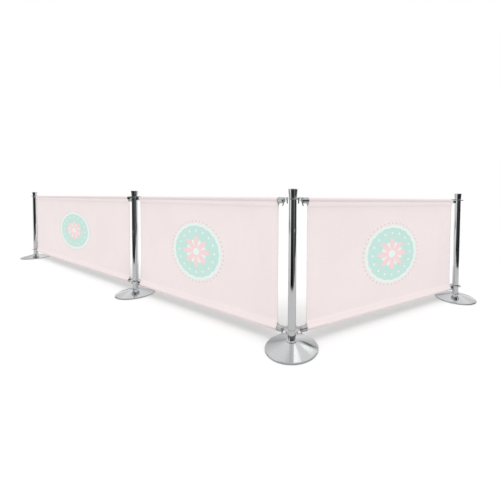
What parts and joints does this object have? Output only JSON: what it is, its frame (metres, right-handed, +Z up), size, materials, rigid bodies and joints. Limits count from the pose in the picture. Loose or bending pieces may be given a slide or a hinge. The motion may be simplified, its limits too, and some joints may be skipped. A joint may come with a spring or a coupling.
{
  "type": "cafe barrier",
  "caption": "Cafe barrier of chromed posts on weighted round bases, joined by cloth banners on hooked crossbars that swing and lift off.",
  "frame": {"origin": "on the floor under the axis of the corner post, at the middle of its foot pad", "axes": "+Z up; +X along the straight row of two banners, from the left post towards the corner post; the right panel turns back towards +Y"},
  "size_m": [5.5523, 1.7875, 0.95],
  "materials": {
    "chrome": "bright chromed steel tube, cap and rings",
    "base_chrome": "spun and chromed steel cover with faint turning lines",
    "hook_chrome": "chromed casting, softly polished",
    "trigger_steel": "plated steel with a fine grain",
    "bar_aluminium": "drawn aluminium tube, satin",
    "banner_cloth": null,
    "iron": "black painted casting",
    "zinc_steel": "zinc plated",
    "rubber": "matt black rubber"
  },
  "bodies": {
    "corner_post": {"corner_post_tube": "chrome", "corner_post_cap": "chrome", "corner_top_ring": "chrome", "corner_bottom_ring": "chrome", "corner_base_cover": "base_chrome", "corner_base_weight": "iron", "corner_base_bolt": "zinc_steel", "corner_foot_pad": "rubber"},
    "middle_post": {"middle_post_tube": "chrome", "middle_post_cap": "chrome", "middle_top_ring": "chrome", "middle_bottom_ring": "chrome", "middle_base_cover": "base_chrome", "middle_base_weight": "iron", "middle_base_bolt": "zinc_steel", "middle_foot_pad": "rubber"},
    "left_post": {"left_post_tube": "chrome", "left_post_cap": "chrome", "left_top_ring": "chrome", "left_bottom_ring": "chrome", "left_base_cover": "base_chrome", "left_base_weight": "iron", "left_base_bolt": "zinc_steel", "left_foot_pad": "rubber"},
    "right_post": {"right_post_tube": "chrome", "right_post_cap": "chrome", "right_top_ring": "chrome", "right_bottom_ring": "chrome", "right_base_cover": "base_chrome", "right_base_weight": "iron", "right_base_bolt": "zinc_steel", "right_foot_pad": "rubber"},
    "middle_top_trigger": {"middle_top_trigger": "trigger_steel"},
    "middle_bottom_trigger": {"middle_bottom_trigger": "trigger_steel"},
    "middle_panel": {"middle_banner": "banner_cloth", "middle_top_bar": "bar_aluminium", "middle_top_hook_left": "hook_chrome", "middle_top_hook_right": "hook_chrome", "middle_bottom_bar": "bar_aluminium", "middle_bottom_hook_left": "hook_chrome", "middle_bottom_hook_right": "hook_chrome"},
    "left_top_trigger": {"left_top_trigger": "trigger_steel"},
    "left_bottom_trigger": {"left_bottom_trigger": "trigger_steel"},
    "left_panel": {"left_banner": "banner_cloth", "left_top_bar": "bar_aluminium", "left_top_hook_left": "hook_chrome", "left_top_hook_right": "hook_chrome", "left_bottom_bar": "bar_aluminium", "left_bottom_hook_left": "hook_chrome", "left_bottom_hook_right": "hook_chrome"},
    "right_top_trigger": {"right_top_trigger": "trigger_steel"},
    "right_bottom_trigger": {"right_bottom_trigger": "trigger_steel"},
    "right_panel": {"right_banner": "banner_cloth", "right_top_bar": "bar_aluminium", "right_top_hook_left": "hook_chrome", "right_top_hook_right": "hook_chrome", "right_bottom_bar": "bar_aluminium", "right_bottom_hook_left": "hook_chrome", "right_bottom_hook_right": "hook_chrome"}
  },
  "joints": [
    {"name": "middle_panel_swing", "type": "hinge", "parent": "corner_post", "child": "middle_panel", "pos_m": [-0.02901, -0.01675, 0.5], "axis": [0, 0, 1], "range_deg": [-15, 75]},
    {"name": "middle_post_swing", "type": "hinge", "parent": "middle_panel", "child": "middle_post", "pos_m": [-1.65201, -0.01675, 0.5], "axis": [0, 0, 1], "range_deg": [-45, 45]},
    {"name": "left_panel_swing", "type": "hinge", "parent": "middle_post", "child": "left_panel", "pos_m": [-1.71901, -0.01675, 0.5], "axis": [0, 0, 1], "range_deg": [-45, 45]},
    {"name": "left_post_swing", "type": "hinge", "parent": "left_panel", "child": "left_post", "pos_m": [-4.34201, -0.01675, 0.5], "axis": [0, 0, 1], "range_deg": [-45, 45]},
    {"name": "right_panel_swing", "type": "hinge", "parent": "corner_post", "child": "right_panel", "pos_m": [0.02901, 0.01675, 0.5], "axis": [0, 0, 1], "range_deg": [-75, 15]},
    {"name": "right_post_swing", "type": "hinge", "parent": "right_panel", "child": "right_post", "pos_m": [0.84051, 1.42231, 0.5], "axis": [0, 0, 1], "range_deg": [-45, 45]},
    {"name": "middle_top_trigger_slide", "type": "slide", "parent": "middle_panel", "child": "middle_top_trigger", "axis": [-1, 0, 0], "range_m": [0, 0.008], "stiffness_N_per_m": 300, "springref_m": -0.01},
    {"name": "middle_bottom_trigger_slide", "type": "slide", "parent": "middle_panel", "child": "middle_bottom_trigger", "axis": [-1, 0, 0], "range_m": [0, 0.008], "stiffness_N_per_m": 300, "springref_m": -0.01},
    {"name": "left_top_trigger_slide", "type": "slide", "parent": "left_panel", "child": "left_top_trigger", "axis": [-1, 0, 0], "range_m": [0, 0.008], "stiffness_N_per_m": 300, "springref_m": -0.01},
    {"name": "left_bottom_trigger_slide", "type": "slide", "parent": "left_panel", "child": "left_bottom_trigger", "axis": [-1, 0, 0], "range_m": [0, 0.008], "stiffness_N_per_m": 300, "springref_m": -0.01},
    {"name": "right_top_trigger_slide", "type": "slide", "parent": "right_panel", "child": "right_top_trigger", "axis": [0.5, 0.866, 0], "range_m": [0, 0.008], "stiffness_N_per_m": 300, "springref_m": -0.01},
    {"name": "right_bottom_trigger_slide", "type": "slide", "parent": "right_panel", "child": "right_bottom_trigger", "axis": [0.5, 0.866, 0], "range_m": [0, 0.008], "stiffness_N_per_m": 300, "springref_m": -0.01}
  ]
}
